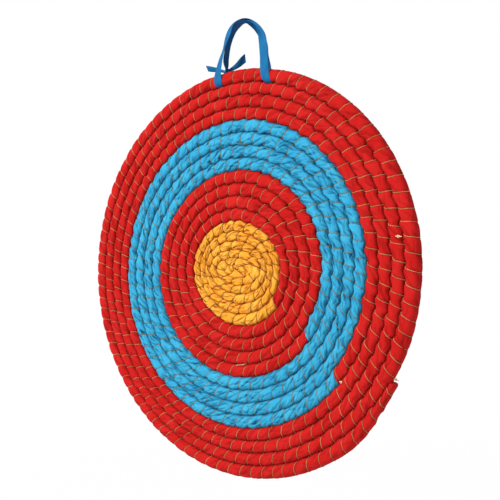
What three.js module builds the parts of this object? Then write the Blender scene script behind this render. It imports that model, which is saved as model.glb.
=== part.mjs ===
// Archery target boss: one long straw rope, wrapped in gold, red, blue and red cloth strips,
// coiled flat from the middle outwards, bound turn to turn with twine, and hung by a ribbon loop.
//
// Units are millimetres. X runs to the right across the face, Z is up, and the face looks
// towards -Y. The origin is where a hook bears, under the top of the hanging loop.
import * as THREE from 'three';

// Rope
const ROPE_THICKNESS = 15.4;
const FIRST_TURN_WIDTH = 7.9;
const WIDER_EACH_TURN = 0.98;
const ROPE_START_OFFSET = -0.6;
const RED_INNER_ROPE_WIDTH = 16.0;
const BLUE_ROPE_WIDTH = 15.5;
const RED_OUTER_ROPE_WIDTH = 15.3;
const ROPE_END_WIDTH = 7.0;
const ROPE_END_THICKNESS = 10.0;
const FLAT_WIDTH_SHARE = 0.5;
const START_THICKNESS_SHARE = 0.6;
const LEAST_BORE_SHARE = 0.33;

// Coil, in turns. It grows anticlockwise as seen from the front.
const START_TURN = 0.05;
const STRAW_START_TURN = 0.15;
const GOLD_TURNS = 5.92;
const RED_INNER_TURNS = 3.99;
const BLUE_TURNS = 3.99;
const RED_OUTER_TURNS = 4.02;
const TAPER_TURNS = 0.45;
const FULL_THICKNESS_TURN = 2.5;
const EVEN_FACETS_A_TURN = 19;

// The innermost oval: half its extra length, and how far out it fades
const FOLD_STRETCH = 20;
const FOLD_FADE = 60;

// Walls and clearances
const CLOTH_WALL = 1.2;
const TURN_GAP = 0.5;
const GOLD_TURN_GAP = 0.9;
const SEAT_GAP = 0.3;
const STRAW_GAP = 0.45;

// Twine
const TWINE_DIAMETER = 1.6;
const TWINE_SIDES = 3;
const TWINE_KNOT_DIAMETER = 4.0;
const FACE_KNOT_TURNS = 2.13;
const INNER_RED_JOIN_TURNS = 3.85;
const BLUE_JOIN_TURNS = 2.4;

// Ribbon
const RIBBON_WIDTH = 12;
const RIBBON_THICKNESS = 1.0;
const LEFT_FOOT_ANGLE = 95.2;
const RIGHT_FOOT_ANGLE = 77;
const LOOP_RISE = 62.9;
const LOOP_LAYER_GAP = 1.2;
const RUN_START_ANGLE = 26;
const SLOT_RAMP = 9;
const RIBBON_KNOT_WIDTH = 11;
const RIBBON_KNOT_HEIGHT = 9;
const RIBBON_KNOT_DEPTH = 5;
const RIBBON_KNOT_RISE = 9.6;
const LEFT_TAIL_LENGTH = 31;
const RIGHT_TAIL_LENGTH = 24;
const LEFT_TAIL_ANGLE = 161;
const RIGHT_TAIL_ANGLE = 24;
const RUN_STEPS = 20;
const TAIL_STEPS = 5;
const ARCH_SAMPLE_SHARE = 0.01;

// Points of the loop from the left foot to the right one: share across, share up
const ARCH_SHARES = [
  [0, 0], [0.04, 0.14], [0.115, 0.45], [0.19, 0.73], [0.31, 0.92], [0.485, 1],
  [0.67, 0.93], [0.83, 0.7], [0.93, 0.42], [0.97, 0.15], [1, 0],
];

const RED_INNER_START = GOLD_TURNS;
const BLUE_START = RED_INNER_START + RED_INNER_TURNS;
const RED_OUTER_START = BLUE_START + BLUE_TURNS;
const END_TURN = RED_OUTER_START + RED_OUTER_TURNS;

const cloth = (color) => new THREE.MeshStandardMaterial({ color, roughness: 0.85, metalness: 0 });
const MATERIALS = {
  straw: new THREE.MeshStandardMaterial({ color: 0xc9a86a, roughness: 0.95, metalness: 0 }),
  gold: cloth(0xf2a52b),
  redInner: cloth(0xcc1f22),
  blue: cloth(0x2f9fcf),
  redOuter: cloth(0xd02022),
  twine: new THREE.MeshStandardMaterial({ color: 0x9c7a4c, roughness: 0.9, metalness: 0 }),
  ribbon: new THREE.MeshStandardMaterial({ color: 0x1c78b8, roughness: 0.7, metalness: 0 }),
};

const TURN_ANGLE = 2 * Math.PI;
const QUARTER_ANGLE = Math.PI / 2;
const HALF_TURN = 1 / 2;
const SAME_TURN = 0.0015;
const NEXT_TURN_SHARE = 0.3;
const SKIN_CORNERS = 6;
const BORE_CORNERS = 4;
const radians = THREE.MathUtils.degToRad;
const clamp = THREE.MathUtils.clamp;
const smooth = THREE.MathUtils.smoothstep;

// Distance of the rope's centre line from the boss's middle, measured up and down, after a
// number of turns: each gold turn is a little wider than the last, then each zone keeps one width.
function centreLine(turn) {
  const gold = Math.min(turn, GOLD_TURNS);
  const redInner = clamp(turn - RED_INNER_START, 0, RED_INNER_TURNS);
  const blue = clamp(turn - BLUE_START, 0, BLUE_TURNS);
  const redOuter = Math.max(turn - RED_OUTER_START, 0);
  return ROPE_START_OFFSET + FIRST_TURN_WIDTH * gold + WIDER_EACH_TURN * gold * gold / 2
    + RED_INNER_ROPE_WIDTH * redInner + BLUE_ROPE_WIDTH * blue + RED_OUTER_ROPE_WIDTH * redOuter;
}

const mmToTurns = (length, turn) => length / (TURN_ANGLE * centreLine(turn));

// The turn of the coil that is outermost at an angle in degrees
function outermostTurn(degrees) {
  const share = radians(degrees) / TURN_ANGLE;
  return Math.floor(END_TURN - share) + share;
}

const FOOT_TURNS = [outermostTurn(LEFT_FOOT_ANGLE), outermostTurn(RIGHT_FOOT_ANGLE)];

// The rays on which every turn has its corners, so that the turns stay nested: one at each edge
// of both ribbon feet, and the rest evenly spaced round the rest of the turn.
function rayShares() {
  const feet = [...FOOT_TURNS].reverse();
  const edges = feet.flatMap((foot) => {
    const reach = mmToTurns(RIBBON_WIDTH / 2, foot);
    return [(foot - reach) % 1, (foot + reach) % 1];
  });
  const last = edges[edges.length - 1];
  const facet = (1 + edges[0] - last) / EVEN_FACETS_A_TURN;
  const rest = [];
  for (let i = 1; i < EVEN_FACETS_A_TURN; i += 1) rest.push((last + i * facet) % 1);
  return [...edges, ...rest].sort((a, b) => a - b);
}

const RAYS = rayShares();

// A value or point at a turn, on the straight line between the two nearest rays
function betweenRays(turn, valueAt, mix) {
  const whole = Math.floor(turn + SAME_TURN - RAYS[0]);
  const share = turn + SAME_TURN - whole;
  const next = RAYS.findIndex((ray) => ray > share);
  const before = whole + (next === -1 ? RAYS[RAYS.length - 1] : RAYS[next - 1]);
  const after = whole + (next === -1 ? 1 + RAYS[0] : RAYS[next]);
  const along = Math.max(turn - before, 0) / (after - before);
  return mix(valueAt(before), valueAt(after), along);
}

// Distance of a turn's inner edge from the middle. The first half turn lies against the next
// one, across the middle of the oval.
function innerEdge(turn) {
  const edgeAt = (ray) => (
    ray < HALF_TURN ? -centreLine(HALF_TURN - ray) : centreLine(ray - HALF_TURN));
  return betweenRays(turn, edgeAt, THREE.MathUtils.lerp);
}

// A point of the coil. The innermost turns are folded into an oval, which fades outwards.
function coilPoint(turn, distance, y) {
  const across = distance + FOLD_STRETCH * Math.exp(-Math.abs(distance) / FOLD_FADE);
  const pointAt = (ray) => {
    const angle = TURN_ANGLE * ray;
    return new THREE.Vector3(across * Math.cos(angle), y, distance * Math.sin(angle));
  };
  return betweenRays(turn, pointAt, (start, end, share) => start.lerp(end, share));
}

const SIDE_SLOPE = (1 - FLAT_WIDTH_SHARE) * RED_OUTER_ROPE_WIDTH / ROPE_THICKNESS;
const SLANT = Math.hypot(1, SIDE_SLOPE);
const SLOT_WIDTH = (RIBBON_THICKNESS + 2 * SEAT_GAP) * SLANT;
const SLOT_DIP = (SLOT_WIDTH - TURN_GAP) / 2;

// How fully the slot for the ribbon is open at a turn: 1 where the ribbon passes, fading beside it
function slotShare(turn) {
  const reach = 1 + 2 * SLOT_RAMP / RIBBON_WIDTH;
  return FOOT_TURNS.reduce((share, foot) => {
    const away = Math.abs(turn - foot) / mmToTurns(RIBBON_WIDTH / 2, foot);
    return share + clamp((reach - away) / (reach - 1), 0, 1);
  }, 0);
}

function turnGap(turn) {
  return turn < GOLD_TURNS ? GOLD_TURN_GAP : TURN_GAP;
}

// Inner and outer edge of the rope, and half its thickness, at a turn
function ropeSection(turn) {
  let inner = innerEdge(turn) + turnGap(turn) / 2;
  let outer = innerEdge(turn + 1) - turnGap(turn) / 2;
  inner += SLOT_DIP * slotShare(turn);
  outer -= SLOT_DIP * slotShare(turn + 1);
  const taper = smooth(turn, END_TURN - TAPER_TURNS, END_TURN);
  outer += (inner + ROPE_END_WIDTH - outer) * taper;
  const growth = smooth(turn, 0, FULL_THICKNESS_TURN);
  const thickness = ROPE_THICKNESS * (START_THICKNESS_SHARE + (1 - START_THICKNESS_SHARE) * growth);
  const half = (outer - inner) / 2;
  const depth = (thickness + (ROPE_END_THICKNESS - thickness) * taper) / 2;
  return { middle: (inner + outer) / 2, half, depth, slope: (1 - FLAT_WIDTH_SHARE) * half / depth };
}

// Six-sided outer skin of the rope, flat at the front and back, at a clearance outside the cloth
function skinRing(turn, clearance = 0) {
  const { middle, half, depth, slope } = ropeSection(turn);
  const side = half + clearance * Math.hypot(1, slope);
  const face = depth + clearance;
  const corner = side - slope * face;
  const corners = [
    [side, 0], [corner, -face], [-corner, -face], [-side, 0], [-corner, face], [corner, face],
  ];
  return corners.map(([across, y]) => coilPoint(turn, middle + across, y));
}

// Four-sided bore of the cloth, or the straw inside it, at a depth under the outer skin
function boreRing(turn, depthUnder) {
  const { middle, half, depth } = ropeSection(turn);
  const side = Math.max(half - depthUnder, half * LEAST_BORE_SHARE);
  const face = Math.max(depth - depthUnder, depth * LEAST_BORE_SHARE);
  const corners = [[side, 0], [0, -face], [-side, 0], [0, face]];
  return corners.map(([across, y]) => coilPoint(turn, middle + across, y));
}

// Turns at which the coil has a section: on its rays, and where the ribbon's slots start and end
function stationsBetween(first, last) {
  const stations = [];
  for (let turn = 0; turn < END_TURN; turn += 1) stations.push(...RAYS.map((ray) => turn + ray));
  for (const foot of FOOT_TURNS) {
    const reach = mmToTurns(RIBBON_WIDTH / 2 + SLOT_RAMP, foot);
    stations.push(foot - reach, foot + reach, foot - 1 - reach, foot - 1 + reach);
  }
  const between = stations.filter((turn) => turn > first + SAME_TURN && turn < last - SAME_TURN);
  between.push(first, last);
  between.sort((a, b) => a - b);
  return between.filter((turn, i) => i === 0 || turn - between[i - 1] > SAME_TURN);
}

// A closed mesh with its faces turned outwards
function closedMesh(points, triangles) {
  const volume = triangles.reduce((sum, [a, b, c]) => {
    const cross = new THREE.Vector3().crossVectors(points[b], points[c]);
    return sum + points[a].dot(cross);
  }, 0);
  const outward = volume > 0 ? triangles : triangles.map(([a, b, c]) => [a, c, b]);
  const geometry = new THREE.BufferGeometry();
  const position = points.flatMap((point) => point.toArray());
  geometry.setAttribute('position', new THREE.Float32BufferAttribute(position, 3));
  geometry.setIndex(outward.flat());
  geometry.computeVertexNormals();
  return geometry;
}

// Triangles between two rings of as many points, given where each ring starts
function sleeve(start, next, sides, flip = false) {
  const triangles = [];
  for (let i = 0; i < sides; i += 1) {
    const j = (i + 1) % sides;
    const pair = [[start + i, start + j, next + j], [start + i, next + j, next + i]];
    triangles.push(...(flip ? pair.map(([a, b, c]) => [a, c, b]) : pair));
  }
  return triangles;
}

function fan(start, sides, flip = false) {
  const triangles = [];
  for (let i = 1; i < sides - 1; i += 1) {
    triangles.push(flip ? [start, start + i, start + i + 1] : [start, start + i + 1, start + i]);
  }
  return triangles;
}

// A solid tube through rings of points
function tube(rings) {
  const sides = rings[0].length;
  const triangles = fan(0, sides);
  for (let i = 0; i < rings.length - 1; i += 1) {
    triangles.push(...sleeve(i * sides, (i + 1) * sides, sides));
  }
  triangles.push(...fan((rings.length - 1) * sides, sides, true));
  return closedMesh(rings.flat(), triangles);
}

// The end of a hollow tube: six corners of the skin joined to four corners of the bore
function endFace(skin, bore, flip) {
  const triangles = [
    [skin, bore, bore + 1], [skin, bore + 1, skin + 1], [skin + 1, bore + 1, skin + 2],
    [skin + 2, bore + 1, bore + 2], [skin + 2, bore + 2, skin + 3], [skin + 3, bore + 2, bore + 3],
    [skin + 3, bore + 3, skin + 4], [skin + 4, bore + 3, skin + 5],
    [skin + 5, bore + 3, bore], [skin + 5, bore, skin],
  ];
  return flip ? triangles.map(([a, b, c]) => [a, c, b]) : triangles;
}

// A cloth strip wound on the rope, as a hollow tube. A closed end has its bore stop short of it.
function clothTube(first, last, closedStart, closedEnd) {
  const stations = stationsBetween(first, last);
  const skin = stations.map((turn) => skinRing(turn));
  const inside = stations.slice(closedStart ? 1 : 0, closedEnd ? -1 : undefined);
  const bore = inside.map((turn) => boreRing(turn, CLOTH_WALL * SLANT));
  const ringAt = (i) => i * SKIN_CORNERS;
  const boreAt = (i) => skin.length * SKIN_CORNERS + i * BORE_CORNERS;
  const lastSkin = ringAt(skin.length - 1);
  const lastBore = boreAt(bore.length - 1);
  const triangles = [];
  for (let i = 0; i < skin.length - 1; i += 1) {
    triangles.push(...sleeve(ringAt(i), ringAt(i + 1), SKIN_CORNERS));
  }
  for (let i = 0; i < bore.length - 1; i += 1) {
    triangles.push(...sleeve(boreAt(i), boreAt(i + 1), BORE_CORNERS, true));
  }
  if (closedStart) {
    triangles.push(...fan(0, SKIN_CORNERS), ...fan(boreAt(0), BORE_CORNERS, true));
  } else {
    triangles.push(...endFace(0, boreAt(0), false));
  }
  if (closedEnd) {
    triangles.push(...fan(lastSkin, SKIN_CORNERS, true), ...fan(lastBore, BORE_CORNERS));
  } else {
    triangles.push(...endFace(lastSkin, lastBore, true));
  }
  return closedMesh([...skin, ...bore].flat(), triangles);
}

// The straw bundle that fills every strip from the middle of the coil to its end
function strawCore(first, last) {
  const stations = stationsBetween(first, last).slice(1, -1);
  return tube(stations.map((turn) => boreRing(turn, (CLOTH_WALL + STRAW_GAP) * SLANT)));
}

// Middle of a round thing of some diameter that rests in the front groove inside a turn. Where
// the ribbon passes, it rests between the ribbon and the turn inside.
function groovePoint(turn, diameter) {
  const outside = ropeSection(turn).slope;
  const inside = ropeSection(turn - 1).slope;
  const reach = diameter / 2 + SEAT_GAP;
  const slot = turnGap(turn) / 2 + SLOT_DIP * slotShare(turn);
  const ribbon = slotShare(turn) * (RIBBON_THICKNESS + SEAT_GAP) * Math.hypot(1, outside);
  const width = reach * (Math.hypot(1, outside) + Math.hypot(1, inside));
  const sunk = (width - 2 * slot + ribbon) / (outside + inside);
  const aside = slot - ribbon + outside * sunk - reach * Math.hypot(1, outside);
  return { distance: innerEdge(turn) + aside, y: -sunk };
}

// A length of twine, lying in the front groove inside the turns that it binds
function twineStrand(first, last) {
  return tube(stationsBetween(first, last).map((turn) => {
    const { distance, y } = groovePoint(turn, TWINE_DIAMETER);
    const ring = [];
    for (let side = 0; side < TWINE_SIDES; side += 1) {
      const angle = TURN_ANGLE * side / TWINE_SIDES - QUARTER_ANGLE;
      const across = TWINE_DIAMETER / 2 * Math.cos(angle);
      ring.push(coilPoint(turn, distance + across, y + TWINE_DIAMETER / 2 * Math.sin(angle)));
    }
    return ring;
  }));
}

// The knot that joins two lengths of twine, in the groove between their ends
function twineKnot(turn) {
  const { distance, y } = groovePoint(turn, TWINE_KNOT_DIAMETER);
  const position = coilPoint(turn, distance, y);
  const geometry = new THREE.IcosahedronGeometry(TWINE_KNOT_DIAMETER / 2, 0);
  return geometry.translate(position.x, position.y, position.z);
}

function mesh(name, geometry, material) {
  const part = new THREE.Mesh(geometry, material);
  part.name = name;
  return part;
}

// A ribbon through points, each with the direction of its width, as a flat strip
function strip({ points, widths, normals }) {
  const rings = points.map((point, i) => {
    const across = widths[i].clone().multiplyScalar(RIBBON_WIDTH / 2);
    const through = normals[i].clone().multiplyScalar(RIBBON_THICKNESS / 2);
    return [
      point.clone().add(across).add(through), point.clone().sub(across).add(through),
      point.clone().sub(across).sub(through), point.clone().add(across).sub(through),
    ];
  });
  return tube(rings);
}

// Where the ribbon goes round the outermost turn: its middle, its section and its directions
function footFrame(footTurn) {
  const section = ropeSection(footTurn);
  const middle = coilPoint(footTurn, section.middle, 0);
  const outward = coilPoint(footTurn, section.middle + section.half, 0).sub(middle).normalize();
  const front = new THREE.Vector3(0, -1, 0);
  const sideways = new THREE.Vector3().crossVectors(outward, front).normalize();
  return { middle, outward, front, sideways, section };
}

// The part of the ribbon that goes under the outermost turn, from its front face to its back face
function ribbonFoot(footTurn) {
  const { middle, outward, front, sideways, section } = footFrame(footTurn);
  const { half, depth, slope } = section;
  const path = (clearance) => {
    const side = half + clearance * Math.hypot(1, slope);
    const face = depth + clearance;
    const corner = side - slope * face;
    return [[corner, face], [-corner, face], [-side, 0], [-corner, -face], [corner, -face]];
  };
  const near = path(SEAT_GAP);
  const far = path(SEAT_GAP + RIBBON_THICKNESS);
  const place = ([up, forward], across) => middle.clone().addScaledVector(outward, up)
    .addScaledVector(front, forward).addScaledVector(sideways, across);
  const rings = near.map((point, i) => [
    place(point, RIBBON_WIDTH / 2), place(point, -RIBBON_WIDTH / 2),
    place(far[i], -RIBBON_WIDTH / 2), place(far[i], RIBBON_WIDTH / 2),
  ]);
  return tube(rings);
}

// The free loop of the ribbon turns about the outermost turn's centre line, so its ends lie
// outside this radius from that line, clear of the feet.
const leftFoot = footFrame(FOOT_TURNS[0]);
const rightFoot = footFrame(FOOT_TURNS[1]);
const footReach = SEAT_GAP + RIBBON_THICKNESS;
const FOLD_RADIUS = Math.hypot(
  FLAT_WIDTH_SHARE * leftFoot.section.half + footReach, leftFoot.section.depth + footReach,
) + SEAT_GAP;

// One of the loop's two runs, which stand on edge at the feet and turn flat at the top: the
// front one (side 1) goes over the outside, the back one (side -1) on the inside.
function ribbonRun(side) {
  const startAngle = radians(RUN_START_ANGLE);
  const startDepth = (FOLD_RADIUS + RIBBON_THICKNESS / 2) * Math.cos(startAngle);
  const startRise = (FOLD_RADIUS + RIBBON_THICKNESS / 2) * Math.sin(startAngle);
  const left = leftFoot.middle.clone().addScaledVector(leftFoot.outward, startRise);
  const right = rightFoot.middle.clone().addScaledVector(rightFoot.outward, startRise);
  const top = leftFoot.middle.z + LOOP_RISE + RIBBON_THICKNESS + LOOP_LAYER_GAP / 2;
  const shares = ARCH_SHARES.map(([across, up]) => new THREE.Vector3(across, up, 0));
  const arch = new THREE.CatmullRomCurve3(shares, false, 'centripetal');
  const place = (share) => {
    const { x: across, y: up } = arch.getPoint(share);
    const base = left.clone().lerp(right, across);
    return new THREE.Vector3(base.x, -side * startDepth * Math.cos(up * QUARTER_ANGLE),
      base.z + (top - base.z) * up);
  };
  const points = [];
  const widths = [];
  const normals = [];
  for (let i = 0; i <= RUN_STEPS; i += 1) {
    const share = i / RUN_STEPS;
    const point = place(share);
    const before = place(Math.max(share - ARCH_SAMPLE_SHARE, 0));
    const after = place(Math.min(share + ARCH_SAMPLE_SHARE, 1));
    const along = after.sub(before).normalize();
    const up = clamp(arch.getPoint(share).y, 0, 1);
    const twist = up * QUARTER_ANGLE;
    const inward = new THREE.Vector3(along.z, 0, -along.x).normalize();
    const width = inward.clone().multiplyScalar(Math.cos(twist));
    width.y = -Math.sin(twist);
    width.addScaledVector(along, -width.dot(along)).normalize();
    const normal = new THREE.Vector3().crossVectors(along, width).normalize();
    const outside = inward.clone().negate();
    const layer = side * (RIBBON_THICKNESS + LOOP_LAYER_GAP) / 2 * Math.sin(twist);
    points.push(point.addScaledVector(outside, layer));
    widths.push(width);
    normals.push(normal);
  }
  return { points, widths, normals };
}

// A cut end of the ribbon, from the knot outwards at an angle in degrees above the +X direction
function ribbonTail(knot, degrees, length) {
  const along = new THREE.Vector3(Math.cos(radians(degrees)), 0, Math.sin(radians(degrees)));
  const width = new THREE.Vector3(-along.z, 0, along.x);
  const normal = new THREE.Vector3(0, 1, 0);
  const knotReach = Math.hypot(RIBBON_KNOT_WIDTH / 2 * along.x, RIBBON_KNOT_HEIGHT / 2 * along.z);
  const away = knotReach + SEAT_GAP;
  const points = [];
  for (let i = 0; i <= TAIL_STEPS; i += 1) {
    points.push(knot.clone().addScaledVector(along, away + length * i / TAIL_STEPS));
  }
  return strip({ points, widths: points.map(() => width), normals: points.map(() => normal) });
}

function build() {
  const boss = new THREE.Group();
  const zones = [
    ['wrap_gold', MATERIALS.gold, START_TURN, RED_INNER_START, true, false],
    ['wrap_red_inner', MATERIALS.redInner, RED_INNER_START, BLUE_START, false, false],
    ['wrap_blue', MATERIALS.blue, BLUE_START, RED_OUTER_START, false, false],
    ['wrap_red_outer', MATERIALS.redOuter, RED_OUTER_START, END_TURN, false, true],
  ];
  for (const [name, material, first, last, closedStart, closedEnd] of zones) {
    const start = closedStart ? first : first + mmToTurns(SEAT_GAP / 2, first);
    const end = closedEnd ? last : last - mmToTurns(SEAT_GAP / 2, last);
    boss.add(mesh(name, clothTube(start, end, closedStart, closedEnd), material));
  }
  boss.add(mesh('straw_core', strawCore(STRAW_START_TURN, END_TURN), MATERIALS.straw));

  // Joins between lengths of twine, as turns of the rope that is bound there
  const joins = [
    START_TURN + 1, RED_INNER_START + INNER_RED_JOIN_TURNS, BLUE_START + BLUE_JOIN_TURNS,
    RED_OUTER_START + 1, RED_OUTER_START + 1 + FACE_KNOT_TURNS, END_TURN,
  ];
  const margin = (turn) => mmToTurns(TWINE_KNOT_DIAMETER / 2 + SEAT_GAP, turn);
  for (let i = 0; i < joins.length - 1; i += 1) {
    const strand = twineStrand(joins[i] + margin(joins[i]), joins[i + 1] - margin(joins[i + 1]));
    boss.add(mesh(`twine_length_${i + 1}`, strand, MATERIALS.twine));
  }
  const knots = ['twine_knot_blue_edge', 'twine_knot_face', 'twine_knot_rim'];
  knots.forEach((name, i) => boss.add(mesh(name, twineKnot(joins[i + 3]), MATERIALS.twine)));

  boss.add(mesh('ribbon_foot_left', ribbonFoot(FOOT_TURNS[0]), MATERIALS.ribbon));
  boss.add(mesh('ribbon_foot_right', ribbonFoot(FOOT_TURNS[1]), MATERIALS.ribbon));
  const front = ribbonRun(1);
  const back = ribbonRun(-1);
  boss.add(mesh('hang_ribbon_front', strip(front), MATERIALS.ribbon));
  boss.add(mesh('hang_ribbon_back', strip(back), MATERIALS.ribbon));
  const knot = leftFoot.middle.clone().addScaledVector(leftFoot.outward, RIBBON_KNOT_RISE);
  knot.y = back.points[1].y + RIBBON_THICKNESS / 2 + SEAT_GAP + RIBBON_KNOT_DEPTH / 2;
  const bead = new THREE.IcosahedronGeometry(1 / 2, 1);
  bead.scale(RIBBON_KNOT_WIDTH, RIBBON_KNOT_DEPTH, RIBBON_KNOT_HEIGHT);
  bead.translate(knot.x, knot.y, knot.z);
  boss.add(mesh('ribbon_knot', bead, MATERIALS.ribbon));
  const leftTail = ribbonTail(knot, LEFT_TAIL_ANGLE, LEFT_TAIL_LENGTH);
  const rightTail = ribbonTail(knot, RIGHT_TAIL_ANGLE, RIGHT_TAIL_LENGTH);
  boss.add(mesh('ribbon_tail_left', leftTail, MATERIALS.ribbon));
  boss.add(mesh('ribbon_tail_right', rightTail, MATERIALS.ribbon));

  // The hook bears on the underside of the inner run, at the top of the loop
  const top = back.points.reduce((best, point) => (point.z > best.z ? point : best));
  boss.position.set(-top.x, 0, -top.z + RIBBON_THICKNESS / 2);
  const part = new THREE.Group();
  part.add(boss);
  return part;
}

// Least gap in mm between one turn's side and another's, on the corners at the coil's stations
function leastTurnGap() {
  const sides = stationsBetween(START_TURN, END_TURN).flatMap((turn) => {
    const ring = skinRing(turn);
    return [{ turn, point: ring[0] }, { turn, point: ring[3] }];
  });
  let least = Infinity;
  for (const a of sides) {
    for (const b of sides) {
      if (b.turn - a.turn > NEXT_TURN_SHARE) least = Math.min(least, a.point.distanceTo(b.point));
    }
  }
  return least;
}

console.log(`least gap between turns: ${leastTurnGap().toFixed(2)} mm`);

const part = build();
export default part;
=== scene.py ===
import bpy
import numpy as np
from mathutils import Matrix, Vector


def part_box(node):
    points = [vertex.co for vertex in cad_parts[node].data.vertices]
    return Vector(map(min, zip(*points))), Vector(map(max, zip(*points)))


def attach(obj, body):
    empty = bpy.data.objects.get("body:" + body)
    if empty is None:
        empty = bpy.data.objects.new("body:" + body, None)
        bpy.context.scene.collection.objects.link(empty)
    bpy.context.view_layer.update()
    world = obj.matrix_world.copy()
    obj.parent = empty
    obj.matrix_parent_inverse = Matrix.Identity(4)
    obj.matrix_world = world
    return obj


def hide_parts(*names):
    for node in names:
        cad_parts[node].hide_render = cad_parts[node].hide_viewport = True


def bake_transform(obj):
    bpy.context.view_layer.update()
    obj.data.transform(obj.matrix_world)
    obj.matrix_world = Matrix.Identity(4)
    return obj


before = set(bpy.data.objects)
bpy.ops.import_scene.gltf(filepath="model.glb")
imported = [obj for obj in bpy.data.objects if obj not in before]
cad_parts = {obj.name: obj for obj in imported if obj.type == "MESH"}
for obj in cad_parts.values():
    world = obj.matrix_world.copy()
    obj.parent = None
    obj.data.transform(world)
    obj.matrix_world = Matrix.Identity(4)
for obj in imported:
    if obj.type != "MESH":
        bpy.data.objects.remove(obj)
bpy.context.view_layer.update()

# The coil's middle in the part's own frame, in mm.
COIL_MIDDLE = np.array([-15.293, 0.0, -302.658])

# Camera and lights

# The photograph looks level at the boss, from its right.
CAMERA_PLACE = (0.53489, -0.69477, -0.27806)
CAMERA_HEADING = 0.6487
CAMERA_LENS, CAMERA_SENSOR = 51.84, 36

camera_data = bpy.data.cameras.new("photo_camera")
camera_data.sensor_width = CAMERA_SENSOR
camera_data.lens = CAMERA_LENS
camera = bpy.data.objects.new("photo_camera", camera_data)
camera.location = CAMERA_PLACE
camera.rotation_euler = (np.pi / 2, 0, CAMERA_HEADING)
bpy.context.scene.collection.objects.link(camera)
bpy.context.scene.camera = camera
bpy.context.scene.view_settings.view_transform = "Standard"


def softbox(name, place, size, power):
    """A square soft light that faces the middle of the boss."""
    data = bpy.data.lights.new(name, "AREA")
    data.shape = "SQUARE"
    data.size = size
    data.energy = power
    lamp = bpy.data.objects.new(name, data)
    lamp.location = place
    away = np.array(place) - COIL_MIDDLE / 1000
    lamp.rotation_mode = "QUATERNION"
    lamp.rotation_quaternion = Vector(away).to_track_quat("Z", "Y")
    bpy.context.scene.collection.objects.link(lamp)


softbox("key_softbox", (-1.41, -2.25, 1.87), 1.2, 135)
softbox("fill_softbox", (1.7, -1.1, 0.2), 1.4, 7)
softbox("back_softbox", (-0.6, 1.9, 0.9), 1.4, 24)

# Helpers for shader nodes


def add_node(tree, kind, settings=None, inputs=None):
    """A shader node with its settings and its inputs, each a number, a colour or another node's output."""
    made = tree.nodes.new(kind)
    for name, value in (settings or {}).items():
        setattr(made, name, value)
    for name, value in (inputs or {}).items():
        if isinstance(value, bpy.types.NodeSocket):
            tree.links.new(value, made.inputs[name])
        else:
            made.inputs[name].default_value = value
    return made


def math(tree, operation, first, second=0.0, third=0.0):
    """A sum on up to three values. MULTIPLY_ADD is the first times the second, plus the third."""
    inputs = {0: first, 1: second, 2: third}
    return add_node(tree, "ShaderNodeMath", {"operation": operation}, inputs).outputs[0]


def vector_math(tree, operation, first, second):
    return add_node(tree, "ShaderNodeVectorMath", {"operation": operation}, {0: first, 1: second}).outputs[0]


def mix_colour(tree, share, first, second):
    """The first colour at a share of 0 and the second at 1."""
    inputs = {0: share, 6: first, 7: second}
    return add_node(tree, "ShaderNodeMix", {"data_type": "RGBA"}, inputs).outputs[2]


def spread(tree, value, low, high, to_low=0.0, to_high=1.0):
    """A value's range from low to high, spread smoothly over another range."""
    settings = {"interpolation_type": "SMOOTHSTEP"}
    inputs = {0: value, 1: low, 2: high, 3: to_low, 4: to_high}
    return add_node(tree, "ShaderNodeMapRange", settings, inputs).outputs[0]


def clamped(tree, value):
    return add_node(tree, "ShaderNodeClamp", None, {0: value}).outputs[0]


def noise(tree, vector, scale=1.0, detail=2.0, roughness=0.5, dimensions="3D"):
    inputs = {"Vector": vector, "Scale": scale, "Detail": detail, "Roughness": roughness}
    return add_node(tree, "ShaderNodeTexNoise", {"noise_dimensions": dimensions}, inputs).outputs[0]


def bump(tree, strength, distance, height, **normal):
    """A surface raised by a height, over another bump where a Normal is given."""
    inputs = {"Strength": strength, "Distance": distance, "Height": height, **normal}
    return add_node(tree, "ShaderNodeBump", None, inputs).outputs[0]


def along_and_round(tree):
    """The piece's own UV map: metres along it and metres round it."""
    return add_node(tree, "ShaderNodeUVMap", {"uv_map": "along_and_round"}).outputs[0]


def solid_place(tree):
    return add_node(tree, "ShaderNodeTexCoord").outputs["Object"]


def mask(tree, name):
    """One of the masks that tube_piece keeps at a mesh's points, from 0 to 1."""
    return add_node(tree, "ShaderNodeAttribute", {"attribute_name": name}).outputs["Fac"]


def node_group(name, inputs, outputs):
    """A shader node group with named sockets, and the sockets of its two end nodes. An input with a
    value is a number, and one without is a vector."""
    group = bpy.data.node_groups.new(name, "ShaderNodeTree")
    for socket, value in inputs.items():
        kind = "NodeSocketVector" if value is None else "NodeSocketFloat"
        made = group.interface.new_socket(socket, in_out="INPUT", socket_type=kind)
        if value is not None:
            made.default_value = value
    for socket in outputs:
        group.interface.new_socket(socket, in_out="OUTPUT", socket_type="NodeSocketFloat")
    return group, group.nodes.new("NodeGroupInput").outputs, group.nodes.new("NodeGroupOutput").inputs


def use_group(tree, group, inputs):
    return add_node(tree, "ShaderNodeGroup", {"node_tree": group}, inputs).outputs


def srgb(red, green, blue):
    """A colour as it shows on screen, from 0 to 255, as a linear colour."""
    shown = np.array([red, green, blue]) / 255
    linear = np.where(shown <= 0.04045, shown / 12.92, ((shown + 0.055) / 1.055) ** 2.4)
    return (*[float(c) for c in linear], 1.0)


def new_material(name):
    made = bpy.data.materials.new(name)
    made.use_nodes = True
    return made, made.node_tree, made.node_tree.nodes["Principled BSDF"]


def set_finish(tree, shader, colour, roughness, normal, specular=0.5, sheen=0.0):
    """Links what changes over a surface to its shader, and sets what doesn't on the shader's sockets."""
    for socket, output in (("Base Color", colour), ("Roughness", roughness), ("Normal", normal)):
        tree.links.new(output, shader.inputs[socket])
    shader.inputs["Specular IOR Level"].default_value = specular
    shader.inputs["Sheen Weight"].default_value = sheen


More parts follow.
